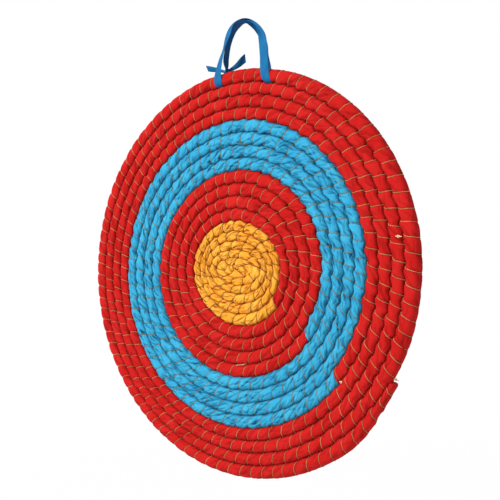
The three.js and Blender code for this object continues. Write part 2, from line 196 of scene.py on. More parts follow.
# Effects that several materials share


def plain_weave():
    """Over-and-under threads: a rounded rib along each thread, warp or weft on top by turns."""
    inputs = {"Position": None, "Thread Width": 0.0005}
    group, given, result = node_group("plain_weave", inputs, ["Height", "Shade"])
    parts = add_node(group, "ShaderNodeSeparateXYZ", None, {0: given["Position"]}).outputs
    width = given["Thread Width"]
    along = math(group, "SINE", math(group, "MULTIPLY", math(group, "DIVIDE", parts[0], width), np.pi))
    across = math(group, "SINE", math(group, "MULTIPLY", math(group, "DIVIDE", parts[1], width), np.pi))
    warp = math(group, "ABSOLUTE", along)
    weft = math(group, "ABSOLUTE", across)
    over = spread(group, math(group, "MULTIPLY", along, across), -0.15, 0.15)
    rib = math(group, "ADD", math(group, "MULTIPLY", warp, over),
               math(group, "MULTIPLY", weft, math(group, "SUBTRACT", 1.0, over)))
    group.links.new(rib, result["Height"])
    # Shade drives a painted shade between the threads: it is low where the rib is low.
    group.links.new(spread(group, rib, 0.0, 0.7), result["Shade"])
    return group


# Three kinds of crease in wound cloth: a stroke's length and width in metres and its slant in
# radians, then the range of its noise that sinks the cloth, and by how much, and the same for the
# range that darkens it with painted shade.
STROKES = [
    ((0.016, 0.0034, 0.5), (0.52, 0.74, 0.9), (0.62, 0.78, 0.9)),
    ((0.012, 0.0030, 0.95), (0.56, 0.76, 0.7), (0.66, 0.8, 0.6)),
    ((0.015, 0.0026, -0.1), (0.55, 0.76, 0.6), (0.64, 0.78, 0.6)),
]


def cloth_crinkle():
    """Creases pressed into a wound strip: short sharp strokes that run along the rope or slant across
    it, over soft swells, with short folds along the rope where the twine gathers the cloth. A stroke
    is a peak of stretched noise, so it is a thin lens with pointed ends."""
    inputs = {"Position": None, "Pillow": 0.0, "Gather": 0.0, "Amount": 0.5, "Size": 1.0}
    group, given, result = node_group("cloth_crinkle", inputs, ["Height", "Shade"])
    pillow, amount = given["Pillow"], given["Amount"]
    # Each pillow between two stitches takes its creases from a place of its own.
    own = add_node(group, "ShaderNodeCombineXYZ", None,
                   {0: math(group, "MULTIPLY", pillow, 0.06), 1: math(group, "MULTIPLY", pillow, 0.035)})
    place = vector_math(group, "ADD", given["Position"], own.outputs[0])
    place = add_node(group, "ShaderNodeVectorMath", {"operation": "SCALE"},
                     {0: place, "Scale": math(group, "DIVIDE", 1.0, given["Size"])}).outputs[0]

    def stretched(length, width, slant, detail=0.0):
        vector = add_node(group, "ShaderNodeMapping", {"vector_type": "TEXTURE"},
                          {"Vector": place, "Rotation": (0, 0, slant), "Scale": (length, width, 1)})
        return noise(group, vector.outputs[0], detail=detail, dimensions="2D")

    def added(*terms):
        total = math(group, "MULTIPLY", *terms[0])
        for value, share in terms[1:]:
            total = math(group, "MULTIPLY_ADD", value, share, total)
        return total

    sinking, painted_crease_shade = [], []
    for shape, (low, high, sunk_share), (dark_low, dark_high, dark_share) in STROKES:
        peaks = stretched(*shape)
        sinking.append((spread(group, peaks, low, high), sunk_share))
        painted_crease_shade.append((spread(group, peaks, dark_low, dark_high), dark_share))
    swell = stretched(0.013, 0.0055, 0.5, 1.0)
    pleats = spread(group, stretched(0.009, 0.0019, 0.05), 0.48, 0.7)
    pleats = math(group, "MULTIPLY", pleats, given["Gather"])
    sunk = math(group, "MULTIPLY", added(*sinking, (swell, 1.6)), amount)
    sunk = math(group, "MULTIPLY_ADD", pleats, math(group, "MULTIPLY_ADD", amount, 0.6, 0.3), sunk)
    group.links.new(math(group, "SUBTRACT", 1.0, sunk), result["Height"])
    # Shade: painted shade in the cores of the strokes and in the pleats.
    group.links.new(math(group, "MULTIPLY", added(*painted_crease_shade, (pleats, 0.3)), amount), result["Shade"])
    return group


def soft_variation():
    """Slow changes of tone over an object, as in hand-dyed cloth or twine."""
    group, given, result = node_group("soft_variation", {"Position": None, "Scale": 20.0}, ["Tone"])
    clouds = noise(group, given["Position"], given["Scale"], 3.0, 0.6)
    group.links.new(spread(group, clouds, 0.3, 0.7), result["Tone"])
    return group


def twisted_ply():
    """The slanting ridges of a twisted twine, three plies round it, with loose fibres along it."""
    inputs = {"Position": None, "Ply Length": 0.0022}
    group, given, result = node_group("twisted_ply", inputs, ["Height", "Shade"])
    parts = add_node(group, "ShaderNodeSeparateXYZ", None, {0: given["Position"]}).outputs
    ridge = math(group, "ADD", math(group, "DIVIDE", parts[0], given["Ply Length"]), parts[1])
    wave = math(group, "SINE", math(group, "MULTIPLY", ridge, 2 * np.pi))
    raised = math(group, "MULTIPLY_ADD", wave, 0.5, 0.5)
    fibre = noise(group, vector_math(group, "MULTIPLY", given["Position"], (2600, 14, 1)))
    height = math(group, "MULTIPLY_ADD", fibre, 0.5, raised)
    group.links.new(height, result["Height"])
    group.links.new(spread(group, height, 0.2, 1.1), result["Shade"])
    return group


PLAIN_WEAVE = plain_weave()
CLOTH_CRINKLE = cloth_crinkle()
SOFT_VARIATION = soft_variation()
TWISTED_PLY = twisted_ply()

# Materials


def wound_cloth(name, lit, middle, painted_shade_colour, crinkle, size):
    """Matt cotton strip: weave and creases, with painted shade in the creases, between the threads, in the
    grooves between the turns and where the twine gathers it."""
    made, tree, shader = new_material(name)
    place, gather, groove = along_and_round(tree), mask(tree, "gather"), mask(tree, "groove")
    weave = use_group(tree, PLAIN_WEAVE, {"Position": place, "Thread Width": 0.00055})
    crease = use_group(tree, CLOTH_CRINKLE, {"Position": place, "Pillow": mask(tree, "pillow"),
                                             "Gather": gather, "Amount": crinkle, "Size": size})
    tone = use_group(tree, SOFT_VARIATION, {"Position": solid_place(tree), "Scale": 38.0})["Tone"]
    colour = mix_colour(tree, tone, middle, lit)
    # Painted shade in the creases, where the twine gathers the cloth, in the grooves between the turns and
    # between the threads.
    colour = mix_colour(tree, clamped(tree, crease["Shade"]), colour, painted_shade_colour)
    colour = mix_colour(tree, spread(tree, gather, 0.3, 1.0, 0.0, 0.4), colour, painted_shade_colour)
    colour = mix_colour(tree, spread(tree, groove, 0.0, 1.0, 0.0, 0.5), colour, painted_shade_colour)
    colour = mix_colour(tree, math(tree, "MULTIPLY_ADD", weave["Shade"], -0.12, 0.12), colour, painted_shade_colour)
    roughness = math(tree, "MULTIPLY_ADD", tone, -0.08, 0.94)
    fine = bump(tree, 0.3, 0.0002, weave["Height"])
    folds = bump(tree, 1.0, 0.0012, crease["Height"], Normal=fine)
    set_finish(tree, shader, colour, roughness, folds, specular=0.06, sheen=0.01)
    return made


# Each cloth's lighter and middle tones, mixed at random, and the colour of its painted shade.
RED_SHADES = srgb(196, 33, 30), srgb(184, 25, 22), srgb(92, 1, 2)
BLUE_SHADES = srgb(62, 169, 206), srgb(50, 154, 195), srgb(6, 66, 102)
GOLD_SHADES = srgb(246, 178, 66), srgb(238, 158, 48), srgb(150, 58, 6)
CLOTHS = {
    "gold": wound_cloth("gold_cloth", *GOLD_SHADES, 0.7, 1.0),
    "red_inner": wound_cloth("red_inner_cloth", *RED_SHADES, 0.36, 1.5),
    "blue": wound_cloth("blue_cloth", *BLUE_SHADES, 0.6, 1.15),
    "red_outer": wound_cloth("red_outer_cloth", *RED_SHADES, 0.32, 1.7),
}


def brown_twine():
    """Twisted twine, with painted shade between its plies. It takes a painted shade where it is sunk in
    the cloth, first olive and then brown, and is pale where it is cut."""
    made, tree, shader = new_material("brown_twine")
    ply = use_group(tree, TWISTED_PLY, {"Position": along_and_round(tree), "Ply Length": 0.0021})
    tone = use_group(tree, SOFT_VARIATION, {"Position": solid_place(tree), "Scale": 60.0})["Tone"]
    sunk = mask(tree, "sunk")
    colour = mix_colour(tree, tone, srgb(176, 132, 80), srgb(210, 168, 112))
    # Painted shade between the plies.
    colour = mix_colour(tree, math(tree, "MULTIPLY_ADD", ply["Shade"], -0.5, 0.5), colour, srgb(86, 52, 28))
    # Painted shade where the twine lies sunk in the cloth: olive where it is sunk less, brown where more.
    dark = mix_colour(tree, spread(tree, sunk, 0.7, 0.79), srgb(90, 112, 24), srgb(116, 44, 6))
    colour = mix_colour(tree, sunk, colour, dark)
    colour = mix_colour(tree, mask(tree, "cut"), colour, srgb(236, 212, 160))
    roughness = math(tree, "MULTIPLY_ADD", tone, 0.1, 0.82)
    set_finish(tree, shader, colour, roughness, bump(tree, 0.8, 0.0004, ply["Height"]), specular=0.15)
    return made


def woven_ribbon():
    """Fine woven ribbon, softly creased where it is gathered, with painted shade in its creases and
    between its threads, and painted shade on its inner side.
    """
    made, tree, shader = new_material("blue_ribbon")
    place = along_and_round(tree)
    weave = use_group(tree, PLAIN_WEAVE, {"Position": place, "Thread Width": 0.0004})
    crease = use_group(tree, CLOTH_CRINKLE,
                       {"Position": place, "Gather": mask(tree, "gather"), "Amount": 0.16, "Size": 2.0})
    tone = use_group(tree, SOFT_VARIATION, {"Position": solid_place(tree), "Scale": 50.0})["Tone"]
    colour = mix_colour(tree, tone, srgb(12, 96, 146), srgb(18, 110, 160))
    # Painted shade on the inner face, then in the creases and between the threads.
    colour = mix_colour(tree, mask(tree, "inner"), colour, srgb(6, 74, 124))
    colour = mix_colour(tree, clamped(tree, crease["Shade"]), colour, srgb(4, 44, 84))
    between = math(tree, "MULTIPLY_ADD", weave["Shade"], -0.16, 0.16)
    colour = mix_colour(tree, between, colour, srgb(4, 48, 92))
    roughness = math(tree, "MULTIPLY_ADD", weave["Shade"], -0.12, 0.72)
    fine = bump(tree, 0.4, 0.0002, weave["Height"])
    folds = bump(tree, 0.5, 0.0006, crease["Height"], Normal=fine)
    set_finish(tree, shader, colour, roughness, folds, specular=0.1, sheen=0.01)
    return made


def dry_straw():
    """Pale stalks along the rope."""
    made, tree, shader = new_material("dry_straw")
    stalks = noise(tree, vector_math(tree, "MULTIPLY", along_and_round(tree), (60, 900, 1)))
    tone = use_group(tree, SOFT_VARIATION, {"Position": solid_place(tree), "Scale": 45.0})["Tone"]
    colour = mix_colour(tree, tone, srgb(196, 160, 100), srgb(222, 190, 130))
    colour = mix_colour(tree, spread(tree, stalks, 0.5, 0.35, 0.0, 0.7), colour, srgb(120, 88, 48))
    roughness = math(tree, "MULTIPLY_ADD", tone, 0.1, 0.6)
    set_finish(tree, shader, colour, roughness, bump(tree, 0.7, 0.0006, stalks))
    return made


twine = brown_twine()
ribbon_cloth = woven_ribbon()
straw = dry_straw()

# The coil's own sizes, in mm and turns

FIRST_TURN_WIDTH = 7.9
WIDER_EACH_TURN = 0.98
ROPE_START_OFFSET = -0.6
ROPE_THICKNESS = 15.4
START_TURN, GOLD_END, ROPE_END = 0.05, 5.903, 17.92
# Past the gold, the rope has one width from each of these turns to the next.
WIDTH_TURNS = [GOLD_END, 9.91, 13.893, ROPE_END + 1]
TURN_WIDTHS = [16.0, 15.5, 15.3]
TAPER_TURNS = 0.064
END_WIDTH, END_THICKNESS = 6.4, 14.6
# How far the innermost turns are drawn out sideways, at distances from the middle.
FOLD_PLACES = np.array([0, 5, 12, 22, 33, 47, 67, 127, 188, 300.0])
FOLD_STRETCH = np.array([1.5, 5, 13.5, 15.5, 13.5, 10, 6.5, 2.4, 0.9, 0.2])
# Where the ribbon's left and right feet go under the outermost turn, how far from the middle, and
# how far along the rope it makes room for them, in full and then fading.
FOOT_TURNS = np.array([17 + 95.9 / 360, 17 + 77.6 / 360])
FOOT_RADIUS = 242
SLOT_REACH, SLOT_FADE = 15, 9
# The rope's section is a circle squared off by this power, and this much fuller than its room.
SECTION_POWER = 2.5
SIDE_FULLNESS = 0.9
# How far a pillow bulges inwards, at angles round the coil.
LOBE_ANGLES = [0, 60, 90, 180, 240, 270, 300, 330, 360]
LOBE_DEPTHS = [2.5, 1.9, 1.4, 1.7, 1.2, 0.6, 1.0, 2.4, 2.6]
# How far the hand-made coil is from true, at distances from its middle: grown outwards, moved right
# and up, drawn out along the level and upright directions, and along the two slants, in mm.
UNEVEN = np.array([
    (0, 0, 2.5, 0.8, 0, 0), (15, 0, 6.5, 0.8, 0, 0), (67, -0.9, 7.5, 0.4, -0.2, -1.1),
    (127, -1.6, 6.4, 0, 0.3, 1.9), (188, -3.0, 3.5, -0.4, -0.5, 2.3), (250, -3.9, 2.4, 0.3, 0.4, 1.8),
])
# How far along the rope a stitch's inner end is from its outer end, every 15 degrees from 7.
SLANT_ANGLES = 7 + 15 * np.arange(24)
SLANTS = [9.4, 7.7, 7.5, 7.2, 5.7, 5.0, 4.2, 2.8, 3.4, 5.8, 6.5, 6.0,
          7.9, 7.9, 8.4, 8.9, 10.4, 9.5, 9.3, 9.7, 10.2, 11.4, 12.2, 10.0]
# The stitches that hold down the cut starts of the blue and the outer red cloth, in turns, and how
# far a cut start stands out beyond its stitch.
BLUE_STITCH, OUTER_RED_STITCH = 9.9073, 13.8963
CUT_START = 4.2
# From stitch to stitch along the rope: the usual step, and the step at distances from the middle.
STITCH_SPACING = 17.4
SPACING_PLACES = [0, 60, 120, 182, 197, 250]
SPACINGS = [14.5, 17, 17.4, 17.6, 16.8, 16.2]
# The step at which stitches are counted on before the first one and after the last.
SPACING_BEYOND = 15
FIRST_STITCH = 0.32
TWINE_DIAMETER = 0.76


def smooth(value, low, high):
    """0 up to low and 1 from high on, with a smooth step between."""
    share = np.clip((value - low) / (high - low), 0, 1)
    return share * share * (3 - 2 * share)


def smooth_curve(places, values, wanted):
    """A smooth curve through values at places: cubic pieces with the slope of their neighbours."""
    slopes = np.gradient(values, places)
    i = np.clip(np.searchsorted(places, wanted, side="right") - 1, 0, len(places) - 2)
    step = places[i + 1] - places[i]
    t = (wanted - places[i]) / step
    return ((2 * t**3 - 3 * t**2 + 1) * values[i] + (t**3 - 2 * t**2 + t) * step * slopes[i]
            + (3 * t**2 - 2 * t**3) * values[i + 1] + (t**3 - t**2) * step * slopes[i + 1])


def unit(vectors):
    return vectors / np.linalg.norm(vectors, axis=-1, keepdims=True)


def distances_along(path):
    """How far each point of a path is along it."""
    return np.concatenate([[0], np.cumsum(np.linalg.norm(np.diff(path, axis=0), axis=1))])


def angles_round(count):
    return np.arange(count) / count * 2 * np.pi


def blended_rows(rows, kernel):
    """Rows of points or values, each blended with its neighbours by the shares of a kernel."""
    reach = len(kernel) // 2
    padded = np.pad(rows, ((reach, reach), (0, 0)), mode="edge")
    return sum(share * padded[n:n + len(rows)] for n, share in enumerate(kernel / kernel.sum()))


def trefoil(angle):
    """The path of an overhand knot, seen along y, about as wide as a circle of radius 1."""
    return np.stack([(np.sin(angle) + 2 * np.sin(2 * angle)) / 3, np.sin(3 * angle),
                     (np.cos(angle) - 2 * np.cos(2 * angle)) / 3], -1)


def carried(path, first, second, along_first, along_second):
    """A section carried along a path: the rings of its points, by how far each is along two
    directions that turn with the path."""
    return path[:, None] + along_first[..., None] * first[:, None] + along_second[..., None] * second[:, None]


def signed_power(value, power):
    return np.sign(value) * np.abs(value) ** power


def squared_circle(angle):
    """A circle squared off by a power, as its reach aside and to the front at an angle round it."""
    across, forward = np.cos(angle), np.sin(angle)
    reach = (np.abs(across) ** SECTION_POWER + np.abs(forward) ** SECTION_POWER) ** (-1 / SECTION_POWER)
    return reach * across, reach * forward


def centre_line(turn):
    """Distance of the rope's centre line from the coil's middle: in the gold each turn is a little
    wider than the last, then each colour keeps one width."""
    gold = np.minimum(turn, GOLD_END)
    distance = ROPE_START_OFFSET + FIRST_TURN_WIDTH * gold + WIDER_EACH_TURN * gold * gold / 2
    for start, end, width in zip(WIDTH_TURNS[:-1], WIDTH_TURNS[1:], TURN_WIDTHS):
        distance = distance + width * np.clip(turn - start, 0, end - start)
    return distance


def turn_edge(turn):
    """Distance of the line between a turn and the one inside it. The first half turn lies against
    the next one, across the middle."""
    return np.where(turn < 0.5, -centre_line(0.5 - turn), centre_line(turn - 0.5))


def coil_point(turn, distance, y):
    """A point at a distance from the middle and at a number of turns, anticlockwise from the front.
    The innermost turns are drawn out sideways into an oval that fades outwards, and the whole coil
    is a little uneven: grown or shrunk, swollen by waves of two round it, and shifted."""
    angle = 2 * np.pi * turn
    grown, right, up, level, slanting = (
        np.interp(np.abs(distance), UNEVEN[:, 0], UNEVEN[:, n]) for n in range(1, 6))
    reach = distance + grown + level * np.cos(2 * angle) + slanting * np.sin(2 * angle)
    across = reach + smooth_curve(FOLD_PLACES, FOLD_STRETCH, np.abs(distance))
    return np.stack([across * np.cos(angle) + right, y + 0 * angle, reach * np.sin(angle) + up], axis=-1)


def slot_share(turn):
    """1 where the ribbon passes between two turns, fading to 0 over some millimetres beside it."""
    away = np.abs(turn[..., None] - FOOT_TURNS) * 2 * np.pi * FOOT_RADIUS
    return np.clip((SLOT_REACH - away) / SLOT_FADE, 0, 1).sum(axis=-1)


def lobe(turn):
    """How far a pillow bulges inwards over the turn inside it: most just before the next stitch, and
    more in some pillows than in others."""
    stitches = stitch_number(turn) - stitch_slant(turn) / STITCH_SPACING / 2
    width = np.minimum(turn_edge(turn + 1) - turn_edge(turn), ROPE_THICKNESS) / ROPE_THICKNESS
    there = smooth(turn, 0.6, 1.6) * (1 - smooth(turn, ROPE_END - 0.03, ROPE_END))
    own = 1 + 0.45 * np.sin(np.floor(stitches) * 2.4)
    depth = np.interp(turn % 1 * 360, LOBE_ANGLES, LOBE_DEPTHS)
    return depth * own * width * there * np.sin(np.pi * (stitches % 1) ** 1.5)


def rope_section(turn, lobed=True):
    """Middle, half width and half thickness of the rope at a turn."""
    inner, outer = turn_edge(turn), turn_edge(turn + 1)
    if lobed:
        inner, outer = inner - lobe(turn), outer - lobe(turn + 1)
    taper = smooth(turn, ROPE_END - TAPER_TURNS, ROPE_END)
    outer = outer + (inner + END_WIDTH - outer) * taper
    thickness = ROPE_THICKNESS * (0.6 + 0.4 * smooth(turn, 0, 2.5))
    thickness = thickness + (END_THICKNESS - thickness) * taper
    return (inner + outer) / 2, (outer - inner) / 2, thickness / 2


def width_share(turn):
    """1 where the rope has its ordinary width, and less where it is narrow."""
    return np.minimum(rope_section(turn)[1] / (ROPE_THICKNESS / 2), 1)


def rope_surface(turn, angle, lift):
    """A point on the rope's section, a squared-off circle, at an angle round it (0 at the outer
    side, a quarter turn at the front, a half turn at the inner side), and lifted off it outwards.
    Its sides are a little fuller than the room they have, so neighbours press together: less where
    the ribbon passes, and more in the very first turn."""
    middle, half, depth = rope_section(turn)
    aside, front = squared_circle(angle)
    facing = signed_power(aside, SECTION_POWER - 1) / half
    rising = signed_power(front, SECTION_POWER - 1) / depth
    length = np.hypot(facing, rising)
    slots = slot_share(turn) + slot_share(turn + 1)
    full = half + SIDE_FULLNESS * (1 - 0.7 * slots + 2.2 * (1 - smooth(turn, 0.4, 1.5)))
    distance = middle + full * aside + lift * facing / length
    return coil_point(turn, distance, -depth * front - lift * rising / length)


FINE_TURNS = np.linspace(0, ROPE_END + 0.1, 40001)
FINE_LENGTHS = distances_along(coil_point(FINE_TURNS, rope_section(FINE_TURNS, lobed=False)[0], 0.0))


def length_at(turn):
    """Length of rope in mm from the coil's start to a turn."""
    return np.interp(turn, FINE_TURNS, FINE_LENGTHS)


def turn_at(length):
    """The turn at a length of rope in mm."""
    return np.interp(length, FINE_LENGTHS, FINE_TURNS)


BLUE_START = float(turn_at(length_at(BLUE_STITCH) - CUT_START))
OUTER_RED_START = float(turn_at(length_at(OUTER_RED_STITCH) - CUT_START))


def lattice_noise(along, around, period, seed):
    """Smooth random values from -1 to 1: random numbers on a grid of whole steps, blended with a
    smooth step, and repeating round the rope after a period of whole steps."""
    rows = int(np.floor(along.max())) + 3
    table = np.random.default_rng(seed).uniform(-1, 1, (rows, period))
    i, j = np.floor(along).astype(int), np.floor(around).astype(int)
    u, v = along - i, around - j
    u, v = u * u * (3 - 2 * u), v * v * (3 - 2 * v)
    i = np.clip(i, 0, rows - 2)
    low = table[i, j % period] * (1 - v) + table[i, (j + 1) % period] * v
    high = table[i + 1, j % period] * (1 - v) + table[i + 1, (j + 1) % period] * v
    return low * (1 - u) + high * u


# Stitches


def stitch_slant(turn):
    """How far a stitch slants along the rope in mm, by the angle round the coil."""
    return np.interp(turn % 1 * 360, SLANT_ANGLES, SLANTS, period=360)


def stitch_turns():
    """Turns at which the twine crosses the front of the rope. Each stitch follows the last one at
    the spacing of its ring, drawn towards the end of a stitch of the turn inside, so that stitches
    of neighbouring turns run on into each other, with a small uneven hand. The last few before a
    stitch with a place of its own share out the way to it."""
    hand = np.random.default_rng(7)
    made = [FIRST_STITCH]
    fixed = length_at(np.array([BLUE_STITCH, OUTER_RED_STITCH]))
    while made[-1] < ROPE_END:
        spacing = np.interp(centre_line(made[-1]), SPACING_PLACES, SPACINGS)
        start = length_at(made[-1])
        length = start + spacing
        inside = np.array(made) + 1
        inside = length_at(np.minimum(inside, ROPE_END + 0.09)) - stitch_slant(inside)
        nearest = inside[np.argmin(np.abs(inside - length))]
        if abs(nearest - length) < 0.36 * spacing:
            length += 0.65 * (nearest - length)
        length = start + np.clip(length - start, 0.8 * spacing, 1.12 * spacing)
        length += hand.uniform(-0.7, 0.7)
        ahead = (fixed - start)[fixed - start > 0.5 * spacing]
        if len(ahead) and ahead[0] < 6.5 * spacing:
            length = start + ahead[0] / np.round(ahead[0] / spacing)
        made.append(float(turn_at(length)))
    return np.array([turn for turn in made if turn < ROPE_END - 0.004])


STITCHES = stitch_turns()
STITCH_COUNT = np.arange(len(STITCHES), dtype=float)
STITCH_LENGTHS = length_at(STITCHES)


def stitch_number(turn):
    """How many stitches have been made at a turn, with a fraction between two of them."""
    length = length_at(turn)
    number = np.interp(length, STITCH_LENGTHS, STITCH_COUNT)
    before = np.minimum(length - STITCH_LENGTHS[0], 0) / SPACING_BEYOND
    after = np.maximum(length - STITCH_LENGTHS[-1], 0) / SPACING_BEYOND
    return number + before + after


def slant_share(angle):
    """A share from -0.5 to 0.5 of a stitch's slant, over the front, and back again behind."""
    return np.where(angle <= np.pi, (angle / np.pi) ** 1.7 - 0.5, 1.5 - angle / np.pi)


def stitch_lead(turn, angle):
    """How far along, in stitches, the twine is at an angle round the rope: it slants over the front
    from the outer side to the inner one, and takes the rest of the step behind the rope."""
    share = stitch_slant(turn) / STITCH_SPACING
    return share * slant_share(angle) + np.maximum(angle - np.pi, 0) / np.pi


def distance_from_stitch(turn, angle):
    """Distance in mm along the rope from the nearest stitch, and the number of the stitch before."""
    phase = stitch_number(turn) - stitch_lead(turn, angle)
    return np.abs(phase - np.round(phase)) * STITCH_SPACING, np.floor(phase)


def pinch(away, angle):
    """How far a stitch presses the cloth in, in mm: a narrow valley in a wide soft hollow, deepest
    at the edges of the grooves and shallow inside them, where the turns press together."""
    aside = np.abs(np.cos(angle))
    pit = np.exp(-(((aside - 0.76) / 0.2) ** 2))
    valley = 0.5 * np.exp(-((away / 1.0) ** 2)) + 0.34 * np.exp(-((away / 3.2) ** 2))
    return valley * (1 + 1.3 * pit) * (1 - 0.8 * aside**10)


# Meshes


def tube_piece(name, rings, material, slot, lengths, around, **masks):
    """A closed tube through rings of points, in mm, capped at both ends with a middle point, with its
    faces turned outwards. Its UV map holds the length along it, given in mm, and the way round it,
    given in metres, both in metres, and its masks are kept at its points."""
    rows, columns = rings.shape[:2]
    points = np.concatenate([rings.reshape(-1, 3), rings[[0, -1]].mean(axis=1)])
    here = np.arange(rows * columns).reshape(rows, columns)
    beside = np.roll(here, -1, axis=1)
    quads = np.stack([here[:-1], beside[:-1], beside[1:], here[1:]], -1).reshape(-1, 4)
    middle = np.full(columns, rows * columns)
    triangles = np.concatenate([np.stack([beside[0], here[0], middle], -1),
                                np.stack([here[-1], beside[-1], middle + 1], -1)])
    along = np.repeat(lengths / 1000, columns).reshape(rows, columns)
    u = np.stack([along[:-1], along[:-1], along[1:], along[1:]], -1).reshape(-1, 4)
    v = np.tile(np.stack([around[:-1], around[1:], around[1:], around[:-1]], -1), (rows - 1, 1))
    a, b, c, d = (points[quads[:, n]] for n in range(4))
    if (a * (np.cross(b, c) + np.cross(c, d))).sum() < 0:
        quads, triangles, u, v = quads[:, ::-1], triangles[:, ::-1], u[:, ::-1], v[:, ::-1]
    quad_uv = np.stack([u, v], -1).reshape(-1, 2)
    ends = np.repeat(lengths[[0, -1]] / 1000, columns * 3)
    triangle_uv = np.stack([ends, np.tile(around[:-1, None], (2, 3)).ravel()], -1)

    mesh = bpy.data.meshes.new(name)
    mesh.vertices.add(len(points))
    mesh.vertices.foreach_set("co", ((points + COIL_MIDDLE) / 1000).astype(np.float32).ravel())
    loops = np.concatenate([quads.ravel(), triangles.ravel()])
    mesh.loops.add(len(loops))
    mesh.loops.foreach_set("vertex_index", loops.astype(np.int32))
    starts = np.concatenate([np.arange(len(quads)) * 4, len(quads) * 4 + np.arange(len(triangles)) * 3])
    mesh.polygons.add(len(starts))
    mesh.polygons.foreach_set("loop_start", starts.astype(np.int32))
    mesh.polygons.foreach_set("use_smooth", np.ones(len(starts), bool))
    mesh.update(calc_edges=True)
    layer = mesh.uv_layers.new(name="along_and_round")
    layer.data.foreach_set("uv", np.concatenate([quad_uv, triangle_uv]).astype(np.float32).ravel())
    for attribute, values in masks.items():
        values = np.concatenate([values.ravel(), [values[0].mean(), values[-1].mean()]])
        mesh.attributes.new(attribute, "FLOAT", "POINT").data.foreach_set("value", values.astype(np.float32))
    mesh.validate()
    piece = bpy.data.objects.new(name, mesh)
    bpy.context.scene.collection.objects.link(piece)
    piece.data.materials.append(material)
    return piece


# The wound rope

# Way round the rope, in metres.
ROPE_GIRTH, STRAW_GIRTH = 0.048, 0.04


def crumpled(lengths, angle, away, before, crumple, fold, seed):
    """How far the cloth between the stitches stands off the section's surface, in mm: creased along
    the zero lines of stretched noise, with creases of its own for each pillow between two stitches,
    over a slow swell."""
    along = lengths[:, None] - lengths[0] + 0 * angle
    share = angle / (2 * np.pi)
    own = (before - before.min()) * 2.37
    slanted = share - along * (0.008 + 0.005 * np.sin(before * 2.1))
    folds = lattice_noise(along / fold + own, slanted * 12, 12, seed)
    puckers = lattice_noise(along / (0.5 * fold) + own, (share + 0.004 * along) * 14, 14, seed + 1)
    swell = lattice_noise(along / 20, share * 4, 4, seed + 2)
    creases = np.clip(1 - np.abs(folds) / 0.4, 0, 1) ** 1.3
    creases = creases + 0.6 * np.clip(1 - np.abs(puckers) / 0.35, 0, 1) ** 1.4
    beside = 1 - 0.85 * np.exp(-((away / 1.6) ** 2))
    return beside * (crumple * (0.35 - creases) + 0.3 * swell)


def wound_strip(colour, first, last, step, columns, crumple, fold, seed):
    """The cloth round one colour's length of rope. The section's surface is pressed in along each
    stitch and left full and crumpled between, and both ends are drawn in to a closed rim. Its rings
    slant as the stitches do, and its points crowd together at the grooves."""
    lengths = np.append(np.arange(length_at(first), length_at(last), step), length_at(last))
    even = angles_round(columns)
    angle = (even + 0.16 * np.sin(2 * even))[None, :] % (2 * np.pi)
    turn = turn_at(lengths)[:, None]
    slant = stitch_slant(turn) * smooth(turn, 0.3, 1) * (1 - smooth(turn, ROPE_END - 0.1, ROPE_END - 0.03))
    turn = turn_at(lengths[:, None] + slant * slant_share(angle))
    angle = np.broadcast_to(angle, turn.shape)
    away, before = distance_from_stitch(turn, angle)
    lift = crumpled(lengths, angle, away, before, crumple, fold, seed) - pinch(away, angle)
    to_end = np.minimum(lengths - lengths[0], lengths[-1] - lengths)[:, None]
    rings = rope_surface(turn, angle, lift * width_share(turn) - 0.9 * np.exp(-to_end / 0.8))

    aside = np.abs(np.cos(angle))
    # Masks for the twine's gather, which pleats the cloth and gives it painted shade, and for painted shade
    # in the grooves between the turns, left out on the last turn's open outer side.
    gather = np.exp(-((away / 2.0) ** 2)) * (0.35 + 0.65 * aside**2)
    groove = np.clip((aside - 0.58) / 0.3, 0, 1)
    groove = np.where((turn > ROPE_END - 1) & (np.cos(angle) > 0), 0.0, groove)
    since = (before - before.min()).astype(int)
    pillow = np.random.default_rng(seed).uniform(0, 1, since.max() + 1)[since]
    around = np.append(angle[0], 2 * np.pi) / (2 * np.pi) * ROPE_GIRTH
    return tube_piece(f"{colour}_strip", rings, CLOTHS[colour], f"{colour}_cloth", lengths, around,
                      gather=gather, groove=groove, pillow=pillow)


# Each colour's strip: its first and last turn, the step between its rings in mm and the points in
# one, how strongly it is crumpled, the length of a fold in mm, and its seed.
STRIPS = [
    ("gold", START_TURN, GOLD_END, 0.75, 40, 0.55, 11, 11),
    ("red_inner", GOLD_END, BLUE_START, 1.0, 32, 0.36, 15, 21),
    ("blue", BLUE_START, OUTER_RED_START, 1.12, 26, 0.42, 15, 31),
    ("red_outer", OUTER_RED_START, ROPE_END, 1.45, 24, 0.32, 16, 41),
]
for strip_colour, *strip_sizes in STRIPS:
    strip = wound_strip(strip_colour, *strip_sizes)
    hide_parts(f"wrap_{strip_colour}")
    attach(strip, "boss")


def straw_bundle():
    """The straw inside the cloth, up to 3.4 mm under the section's surface, from end to end."""
    lengths = np.arange(length_at(0.15), length_at(ROPE_END - 0.006), 6.0)
    turn, angle = np.broadcast_arrays(turn_at(lengths)[:, None], angles_round(10)[None, :])
    middle, half, depth = rope_section(turn)
    rings = rope_surface(turn, angle, -np.minimum(3.4, np.minimum(half, depth) * 0.6))
    around = np.arange(11) / 10 * STRAW_GIRTH
    piece = tube_piece("straw_bundle", rings, straw, "straw", lengths, around)
    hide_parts("straw_core")
    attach(piece, "boss")


straw_bundle()

# Twine

# Turns at which one length of twine ends and the next begins.
TWINE_JOINS = [0.3, 9.77, 12.31, 14.90, 17.03, ROPE_END]
POINTS_A_STITCH = 28
TWINE_COLUMNS = 6
# How far the twine stands off the cloth that it presses in.
TWINE_PROUD = 0.2
# The side of a knot or loose end that the front view sees.
TO_THE_FRONT = [0.1, -1.0, 0.15]


